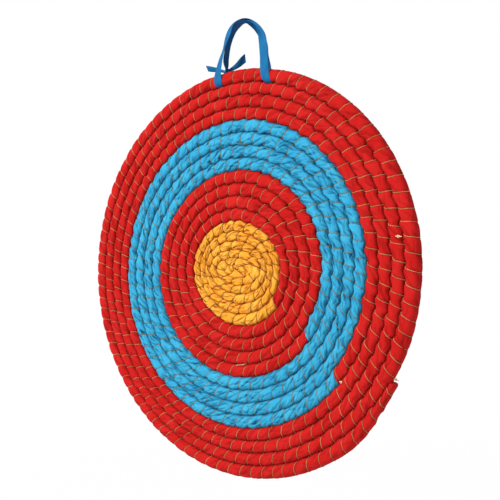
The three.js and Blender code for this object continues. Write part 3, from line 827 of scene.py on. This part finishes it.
def twine_tube(name, path, outward, radius, sunk=0.0, cut=0.0):
    """A round strand along a path of points, with a direction that starts its section."""
    forward = unit(np.gradient(path, axis=0))
    up = unit(outward - (outward * forward).sum(axis=1, keepdims=True) * forward)
    angle = angles_round(TWINE_COLUMNS)
    rings = carried(path, up, np.cross(forward, up), radius * np.cos(angle), radius * np.sin(angle))
    sunk, cut = (np.broadcast_to(np.broadcast_to(value, (len(path),))[:, None], rings.shape[:2])
                 for value in (sunk, cut))
    around = np.arange(TWINE_COLUMNS + 1) / TWINE_COLUMNS
    return tube_piece(name, rings, twine, "twine", distances_along(path), around, sunk=sunk, cut=cut)


def twine_length(name, node, first, last):
    """One length of twine, sewn round and round the rope: at each stitch it slants over the front,
    goes down between the turns, and comes back behind the rope to the next stitch. It starts a
    quarter round before its first stitch and ends a quarter round after its last."""
    numbers = STITCH_COUNT[(STITCHES >= first) & (STITCHES < last)]
    quarter = POINTS_A_STITCH // 4
    rounds = np.arange(numbers[0] * POINTS_A_STITCH - quarter, numbers[-1] * POINTS_A_STITCH + quarter + 1)
    rounds = rounds / POINTS_A_STITCH
    even = (rounds - np.floor(rounds) + 0.25) % 1 * 2 * np.pi
    base = np.round(rounds + 0.25 - even / (2 * np.pi))
    turn = np.interp(base, STITCH_COUNT, STITCHES)
    for _ in range(3):
        number = base + stitch_lead(turn, even)
        turn = turn_at(np.interp(number, STITCH_COUNT, STITCH_LENGTHS))
    lift = TWINE_PROUD - pinch(np.zeros_like(even), even) * width_share(turn)
    path = rope_surface(turn, even, lift)
    outward = rope_surface(turn, even, lift + 1) - path
    in_gold = 1 - smooth(turn, GOLD_END - 0.02, GOLD_END)
    in_blue = smooth(turn, BLUE_START - 0.004, BLUE_START + 0.004) * (
        1 - smooth(turn, OUTER_RED_START - 0.004, OUTER_RED_START + 0.004))
    # Painted shade on the twine where it is sunk in the gold and the blue cloth.
    piece = twine_tube(name, path, outward, TWINE_DIAMETER / 2, sunk=0.8 * in_gold + 0.5 * in_blue)
    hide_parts(node)
    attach(piece, "boss")


for length_number, (join, next_join) in enumerate(zip(TWINE_JOINS[:-1], TWINE_JOINS[1:]), 1):
    twine_length(f"sewn_twine_{length_number}", f"twine_length_{length_number}", join, next_join)


def twine_knot(name, node, middle, size, cut, seed):
    """An overhand knot pulled tight: a strand along a small trefoil, with two short ends."""
    loop = trefoil(np.linspace(0.04, 0.96, 60) * 2 * np.pi) * [1.5, -0.55, 1.5]
    hand = np.random.default_rng(seed)
    tip = hand.uniform(-1, 1, (2, 3)) * [1.6, 0.5, 1.6] + [[3.4, -0.6, -1.8], [-3.0, 1.0, 0.8]]
    run = np.linspace(0, 1, 9)[:, None]
    path = np.concatenate([loop[0] + (tip[0] - loop[0]) * (1 - run[:-1]), loop,
                           loop[-1] + (tip[1] - loop[-1]) * run[1:]])
    path = blended_rows(path, np.array([1, 2, 3, 2, 1])) * size + middle
    piece = twine_tube(name, path, np.tile(TO_THE_FRONT, (len(path), 1)), 0.6 * size, cut=cut)
    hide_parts(node)
    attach(piece, "boss")


twine_knot("knot_at_blue_edge", "twine_knot_blue_edge", (153.7, -7.4, -119.8), 0.8, 0.8, 3)
twine_knot("knot_on_face", "twine_knot_face", (222.4, -8.4, 38.8), 0.9, 0.8, 4)
twine_knot("knot_at_rim", "twine_knot_rim", (217.4, -3.4, -110.6), 0.75, 0.15, 5)

# Loose ends of twine: how much painted shade darkens each and how pale each is, and the points that it
# passes.
LOOSE_ENDS = {
    "twine_end_left": (
        0.5, 0, [(-129.0, -4.5, 36.9), (-131.0, -8.0, 36.3), (-134.6, -8.6, 35.3), (-138.3, -8.4, 32.6)]),
    "twine_end_top": (
        0.64, 0, [(24.4, -4.5, 152.0), (21.5, -7.8, 152.2), (17, -8.4, 152.9), (10, -8.3, 153.8),
                  (6.5, -7.8, 154.0)]),
    "twine_end_upper_right": (
        0.72, 0, [(48.4, -4.5, 145.9), (50.4, -7.8, 145.6), (53.0, -8.3, 145.0), (57.0, -8.0, 143.6)]),
    "twine_end_bottom": (
        0, 0.3, [(22.0, -4.5, -112.6), (20.6, -7.8, -113.0), (18, -8.6, -113.7), (13.4, -8.8, -114.4),
                 (8.6, -8.7, -115.4)]),
}
LOOSE_END_POINTS = 14


def loose_end(name, sunk, cut, points):
    """A cut end of twine that comes up out of a groove and lies on the rope: a smooth curve through a
    few points."""
    table = np.array(points)
    places = distances_along(table)
    wanted = np.linspace(0, places[-1], LOOSE_END_POINTS)
    path = np.stack([smooth_curve(places, table[:, n], wanted) for n in range(3)], -1)
    piece = twine_tube(name, path, np.tile(TO_THE_FRONT, (LOOSE_END_POINTS, 1)), 0.44, sunk=sunk, cut=cut)
    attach(piece, "boss")


for end_name, end_sizes in LOOSE_ENDS.items():
    loose_end(end_name, *end_sizes)

# The hanging ribbon

RIBBON_WIDTH = 12.0
RIBBON_THICKNESS = 0.55
RIBBON_COLUMNS = 13
FORWARD = np.array([0, -1, 0])
# How far the ribbon's middle is off the rope it goes round, aside and at the front.
RIBBON_OFF_SIDE, RIBBON_OFF_FRONT = 0.4, 0.45
# A foot runs between these angles round the rope's section, in half turns.
FOOT_FRONT, FOOT_BACK, FOOT_POINTS = 0.40, 1.62, 36


def ribbon_piece(name, points, widths, curl, width, gather, inner=1.0, cut=0.0):
    """A flat strip of ribbon along points, with the direction and size of its width at each. Its
    section is a thin plate with rounded edges, bent into an arc by a number of degrees at each edge.
    A cut end is slanted by pulling one edge forwards and the other back."""
    forward = unit(np.gradient(points, axis=0))
    across = unit(widths - (widths * forward).sum(axis=1, keepdims=True) * forward)
    normal = np.cross(forward, across)
    even = np.linspace(-1, 1, RIBBON_COLUMNS)
    share = np.concatenate([even, even[::-1]])
    face = np.repeat([1.0, -1.0], RIBBON_COLUMNS)
    side = face * (1 - np.abs(share) ** 9 * 0.9)
    bend = np.radians(curl + 1.0)[:, None]
    lengths = distances_along(points)
    ripple = 0.25 * np.sin(lengths[:, None] / 5.3 + 2.2 * share) * share**2
    radius = width[:, None] / 2 / bend
    layer = radius + side * RIBBON_THICKNESS / 2 + ripple
    aside = layer * np.sin(bend * share)
    height = layer * np.cos(bend * share) - radius * (1 + np.cos(bend)) / 2
    rings = carried(points, across, normal, aside, height)
    late = smooth(lengths / lengths[-1], 0.6, 1)
    rings = rings + (cut * late[:, None] * share)[..., None] * forward[:, None]
    around = np.append((share + 1) / 2 * RIBBON_WIDTH / 1000, 0.0)
    gather = np.broadcast_to(gather[:, None], rings.shape[:2])
    # The inner face takes the ribbon's painted shade, at the share given.
    inner = np.broadcast_to(inner * (face > 0), rings.shape[:2])
    return tube_piece(name, rings, ribbon_cloth, "ribbon", lengths, around, gather=gather, inner=inner)


def under_rope(foot_turn, first, last, slide):
    """The ribbon's way round the inner side of the outermost turn at a foot, between two angles
    round its section. It slides along the rope by some millimetres at its front end, in the groove
    and at its back end. Gives its points and the directions of its width."""
    turn = np.array([foot_turn])
    middle, half, depth = rope_section(turn)
    centre = coil_point(turn, middle, 0.0)[0]
    outward = unit(coil_point(turn, middle + half, 0.0)[0] - centre)
    angle = np.linspace(first, last, FOOT_POINTS) * np.pi
    aside, front = squared_circle(angle)
    sideways = np.array([outward[2], 0, -outward[0]])
    slid = np.interp(angle / np.pi, [FOOT_FRONT, 1.0, FOOT_BACK], slide)
    points = centre + ((half + RIBBON_OFF_SIDE) * aside)[:, None] * outward
    points = points + ((depth + RIBBON_OFF_FRONT) * front)[:, None] * FORWARD + slid[:, None] * sideways
    return points, np.broadcast_to(sideways, points.shape)


# The loop from the left foot over the top to the right foot: x, y and z about the coil's middle,
# the ribbon's twist in degrees (0 where it faces the front, 90 where it lies flat at the top), its
# width, and how far its edges curl.
FRONT_RUN = np.array([
    (-20.3, -8.3, 242, 8, 12, 0), (-18.6, -8.3, 249.7, 18, 12, 4), (-15.5, -8.2, 259.2, 29, 12, 10),
    (-12.4, -7.9, 267.4, 37, 12, 14), (-10.4, -7.3, 274.5, 38, 12, 20), (-8.2, -6.6, 281.7, 30, 12, 24),
    (-5.9, -5.6, 288.3, 25, 11.6, 28), (-3.0, -4.9, 294.8, 28, 11, 32), (0.6, -4.2, 300.2, 38, 9.6, 38),
    (5.6, -3.4, 303.8, 52, 8.6, 46), (12.4, -2.6, 305.2, 62, 8, 50), (22.8, -3.0, 302.6, 62, 6.2, 54),
    (34.0, -3.8, 295.6, 48, 5.6, 54), (42.2, -4.9, 286.6, 30, 6.6, 46), (46.8, -6.2, 276.0, 4, 11.4, 24),
    (48.7, -7.3, 266.9, -2, 12, 12), (50.0, -8.0, 254.7, 0, 12, 4), (50.5, -8.3, 243, 0, 12, 0),
])
BACK_RUN = np.array([
    (-22.0, 8.8, 245, 40, 4, 0), (-20.2, 8.6, 250, 70, 6, 20), (-20.8, 8.4, 256, 84, 10.8, 18),
    (-21.1, 8.2, 263, 86, 12, 14), (-19.0, 7.6, 272, 86, 12, 12), (-15.9, 6.8, 281.5, 86, 12, 12),
    (-11.8, 5.6, 289.5, 86, 12, 12), (-5.8, 4.0, 296.2, 87, 12, 10), (2.2, 2.2, 300.4, 89, 12, 8),
    (12.8, 0.4, 304.0, 100, 12, 6), (23.2, 1.4, 300.2, 130, 12, 8), (31.0, 3.4, 291.4, 138, 12, 10),
    (37.0, 5.2, 282.4, 144, 12, 12), (41.0, 6.6, 274.4, 150, 12, 12), (42.0, 7.6, 266.5, 156, 12, 10),
    (40.6, 8.2, 257.6, 170, 11.4, 8), (41.8, 8.5, 250, 180, 10.4, 4), (44.4, 8.6, 243, 180, 9.4, 0),
])
RUN_POINTS = 110
LEAD_POINTS = 5
# The box that the ribbon's knot keeps to, in mm about the coil's middle.
KNOT_LOW, KNOT_HIGH = (np.array(corner) * 1000 - COIL_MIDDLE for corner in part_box("ribbon_knot"))
KNOT_MIDDLE = (KNOT_LOW + KNOT_HIGH) / 2


def loop_run(table):
    """One run of the loop, as a smooth curve through its table: points, width directions, width and
    curl."""
    places = distances_along(table[:, :3])
    wanted = np.linspace(0, places[-1], RUN_POINTS)
    x, y, z, twist, width, curl = (smooth_curve(places, table[:, n], wanted) for n in range(6))
    points, twist = np.stack([x, y, z], -1), np.radians(twist)
    along = np.gradient(points, axis=0)
    along[:, 1] = 0
    along = unit(along)
    inward = np.stack([along[:, 2], 0 * x, -along[:, 0]], -1)
    widths = inward * np.cos(twist)[:, None] + FORWARD * np.sin(twist)[:, None]
    return points, widths, width, curl


def hanging_loop():
    """One ribbon from the knot behind the left foot, under the outermost turn, over the top in
    front, under the turn at the right foot, and back over the top behind to the knot. Its columns
    are the points, the directions of its width, its width and its curl."""
    left, left_widths = under_rope(FOOT_TURNS[0], FOOT_BACK, FOOT_FRONT, (1.4, -0.2, -0.2))
    right, right_widths = under_rope(FOOT_TURNS[1], FOOT_FRONT, FOOT_BACK, (-3.0, 6.0, -9.6))
    front, back = loop_run(FRONT_RUN), loop_run(BACK_RUN)
    start = KNOT_MIDDLE + [0, -3.0, 0]
    lead = start + (left[0] - start) * np.linspace(0, 1, LEAD_POINTS + 1)[:-1, None]
    lead_widths = np.broadcast_to(left_widths[0], lead.shape)
    points = np.concatenate([lead, left, front[0], right, back[0][::-1]])
    widths = np.concatenate([lead_widths, left_widths, front[1], right_widths, back[1][::-1]])
    around = np.linspace(0, 1, FOOT_POINTS)
    left_width = 12 - 3.0 * np.exp(-(((around - 0.55) / 0.2) ** 2))
    right_width = 12 - 5.0 * np.exp(-(((around - 0.45) / 0.2) ** 2)) - 2.6 * smooth(around, 0.5, 1)
    width = np.concatenate(
        [np.linspace(6, 12, LEAD_POINTS), left_width, front[2], right_width, back[2][::-1]])
    curl = np.concatenate(
        [np.zeros(LEAD_POINTS + FOOT_POINTS), front[3], np.zeros(FOOT_POINTS), -back[3][::-1]])
    return np.concatenate([points, widths, width[:, None], curl[:, None]], axis=1)


def even_path(table, step):
    """The same path with its rows a step apart, rounded lightly at its corners."""
    lengths = distances_along(table[:, :3])
    wanted = np.linspace(0, lengths[-1], int(lengths[-1] / step) + 1)
    even = np.stack([np.interp(wanted, lengths, column) for column in table.T], -1)
    rounded = blended_rows(even, np.hanning(9)[1:-1])
    rounded[0], rounded[-1] = even[0], even[-1]
    return rounded


loop_table = hanging_loop()
# The width never turns over from one point to the next.
turned = np.concatenate([[1], np.cumprod(np.sign((loop_table[1:, 3:6] * loop_table[:-1, 3:6]).sum(axis=1)))])
loop_table[:, 3:6] *= turned[:, None]
loop_table = even_path(loop_table, 1.4)
loop_points, loop_widths, loop_width, loop_curl = np.split(loop_table, [3, 6, 7], axis=1)
loop_width, loop_curl = loop_width[:, 0], loop_curl[:, 0]
hang_ribbon = ribbon_piece("hang_ribbon", loop_points, loop_widths, loop_curl, loop_width,
                           np.zeros(len(loop_points)))
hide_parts("hang_ribbon_front", "hang_ribbon_back", "ribbon_foot_left", "ribbon_foot_right")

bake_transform(hang_ribbon)


def ribbon_knot():
    """The ribbon's knot: a flattened trefoil of thick folded ribbon, pulled tight."""
    path = trefoil(angles_round(90)) * [1, 0.5, 1] * ((KNOT_HIGH - KNOT_LOW) / 2 - [2.3, 1.3, 2.3])
    path = np.concatenate([path, path[:1]]) + KNOT_MIDDLE
    forward = unit(np.gradient(path, axis=0))
    across = unit(np.cross(forward, [0, 1.0, 0]))
    columns = 14
    angle = angles_round(columns)
    rings = carried(path, across, np.cross(across, forward),
                    2.5 * signed_power(np.cos(angle), 0.8), 1.2 * signed_power(np.sin(angle), 0.8))
    around = np.arange(columns + 1) / columns * RIBBON_WIDTH / 1000
    # The knot is gathered all over: pleats, with painted shade in them.
    piece = tube_piece("knot_in_ribbon", rings, ribbon_cloth, "ribbon", distances_along(path), around,
                       gather=np.full(rings.shape[:2], 0.7))
    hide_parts("ribbon_knot")
    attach(piece, "loop")


def ribbon_tail(name, node, degrees, length, droop, start, opening, tilt, inner, cut):
    """A cut end of the ribbon from the knot: it leaves narrow, opens to its full width and sags."""
    share = np.linspace(0, 1, 26)
    turn = np.radians(degrees)
    along = np.array([np.cos(turn), 0, np.sin(turn)])
    points = KNOT_MIDDLE + along * (3.0 + length * share)[:, None]
    points = points + np.array([0, 0.6, 0]) * np.sin(share * 5)[:, None]
    points = points - np.array([0, 0, droop]) * (share**2)[:, None]
    widths = np.broadcast_to([-along[2], tilt, along[0]], points.shape)
    width = RIBBON_WIDTH * (start + opening * smooth(share, 0, 0.8))
    # Gathered near the knot: pleats, with painted shade in them.
    gather = 0.8 * (1 - smooth(share, 0, 0.4))
    piece = ribbon_piece(name, points, widths, 40 * (1 - share), width, gather, inner, cut)
    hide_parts(node)
    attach(piece, "loop")
    return piece


ribbon_knot()
# inner is the share of painted shade on a tail's inner face.
left_tail = ribbon_tail("tail_to_left", "ribbon_tail_left", degrees=162, length=31.5, droop=1.2,
                        start=0.3, opening=0.28, tilt=0.3, inner=0.0, cut=-2.2)
right_tail = ribbon_tail("tail_to_right", "ribbon_tail_right", degrees=23, length=29, droop=-0.5,
                         start=0.46, opening=0.56, tilt=0.2, inner=0.6, cut=0.9)

# Floor and background

WHITE = (1, 1, 1, 1)
FLOOR_LEVEL, FLOOR_REACH = -1.0, 14.0


def pale_floor():
    """A plain pale floor under the hanging boss. It shows the boss's soft shadow and is plain white
    further off."""
    made, tree, shader = new_material("pale_floor")
    shader.inputs["Base Color"].default_value = (0.75, 0.75, 0.75, 1)
    shader.inputs["Roughness"].default_value = 0.9
    from_boss = vector_math(tree, "SUBTRACT", solid_place(tree), (0.2, 0.2, FLOOR_LEVEL))
    far = add_node(tree, "ShaderNodeVectorMath", {"operation": "LENGTH"}, {0: from_boss}).outputs["Value"]
    seen = add_node(tree, "ShaderNodeLightPath").outputs["Is Camera Ray"]
    glow = add_node(tree, "ShaderNodeEmission", None, {"Color": WHITE, "Strength": 1.0}).outputs[0]
    share = math(tree, "MULTIPLY", seen, spread(tree, far, 0.7, 2.4, 0.9, 1.0))
    mixed = add_node(tree, "ShaderNodeMixShader", None, {0: share, 1: shader.outputs[0], 2: glow}).outputs[0]
    tree.links.new(mixed, tree.nodes["Material Output"].inputs["Surface"])
    mesh = bpy.data.meshes.new("floor")
    corners = [(-1, -1), (1, -1), (1, 1), (-1, 1)]
    corners = [(x * FLOOR_REACH, y * FLOOR_REACH, FLOOR_LEVEL) for x, y in corners]
    mesh.from_pydata(corners, [], [(0, 1, 2, 3)])
    floor = bpy.data.objects.new("floor", mesh)
    bpy.context.scene.collection.objects.link(floor)
    floor.data.materials.append(made)


def studio_world():
    """Even pale light from all round, which the camera sees as plain white."""
    world = bpy.data.worlds.new("studio")
    world.use_nodes = True
    bpy.context.scene.world = world
    tree = world.node_tree
    seen = add_node(tree, "ShaderNodeLightPath").outputs["Is Camera Ray"]
    colour = mix_colour(tree, seen, (0.44, 0.445, 0.46, 1), WHITE)
    tree.links.new(colour, tree.nodes["Background"].inputs["Color"])


pale_floor()
studio_world()
